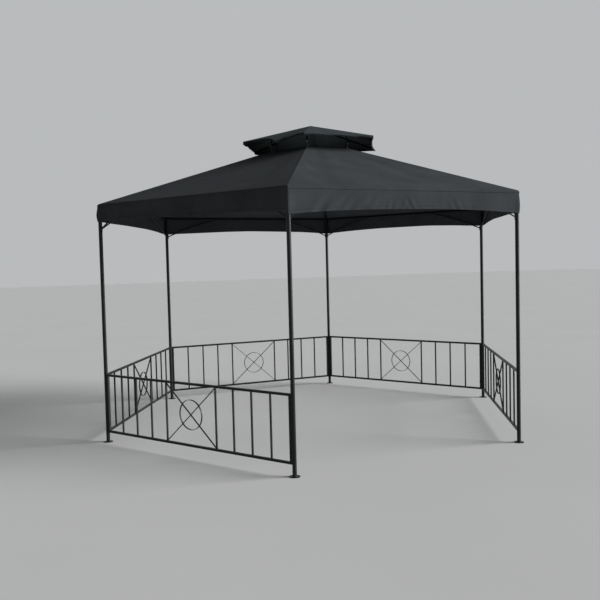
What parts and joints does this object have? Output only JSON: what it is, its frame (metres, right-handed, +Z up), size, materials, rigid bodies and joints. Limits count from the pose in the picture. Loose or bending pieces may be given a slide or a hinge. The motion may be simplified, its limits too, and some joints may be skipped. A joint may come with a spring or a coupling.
{
  "type": "hexagonal garden gazebo",
  "caption": "Hexagonal steel-frame garden gazebo with a fabric roof, a raised vent cap, a valance, low railing panels and one open side.",
  "frame": {"origin": "on the ground, at the centre of the six posts", "axes": "+Z up; -Y out through the open side that people walk in by; +X to the right seen from there, through two opposite posts"},
  "size_m": [4.08, 3.5438, 2.8076],
  "materials": {
    "frame_steel": "powder-coated black with a green cast, satin",
    "canopy_fabric": "coated woven polyester, dark charcoal, matt"
  },
  "bodies": {
    "root": {"post_right": "frame_steel", "bracket_right": "frame_steel", "rafter_right": "frame_steel", "braces_right": "frame_steel", "post_back_right": "frame_steel", "bracket_back_right": "frame_steel", "rafter_back_right": "frame_steel", "braces_back_right": "frame_steel", "post_back_left": "frame_steel", "bracket_back_left": "frame_steel", "rafter_back_left": "frame_steel", "braces_back_left": "frame_steel", "post_left": "frame_steel", "bracket_left": "frame_steel", "rafter_left": "frame_steel", "braces_left": "frame_steel", "post_front_left": "frame_steel", "bracket_front_left": "frame_steel", "rafter_front_left": "frame_steel", "braces_front_left": "frame_steel", "post_front_right": "frame_steel", "bracket_front_right": "frame_steel", "rafter_front_right": "frame_steel", "braces_front_right": "frame_steel", "beam_right_back": "frame_steel", "railing_right_back": "frame_steel", "beam_back": "frame_steel", "railing_back": "frame_steel", "beam_left_back": "frame_steel", "railing_left_back": "frame_steel", "beam_left_front": "frame_steel", "railing_left_front": "frame_steel", "beam_front": "frame_steel", "beam_right_front": "frame_steel", "railing_right_front": "frame_steel", "vent_ring": "frame_steel", "cap_frame": "frame_steel", "canopy": "canopy_fabric", "valance": "canopy_fabric", "cap_canopy": "canopy_fabric"}
  },
  "joints": []
}
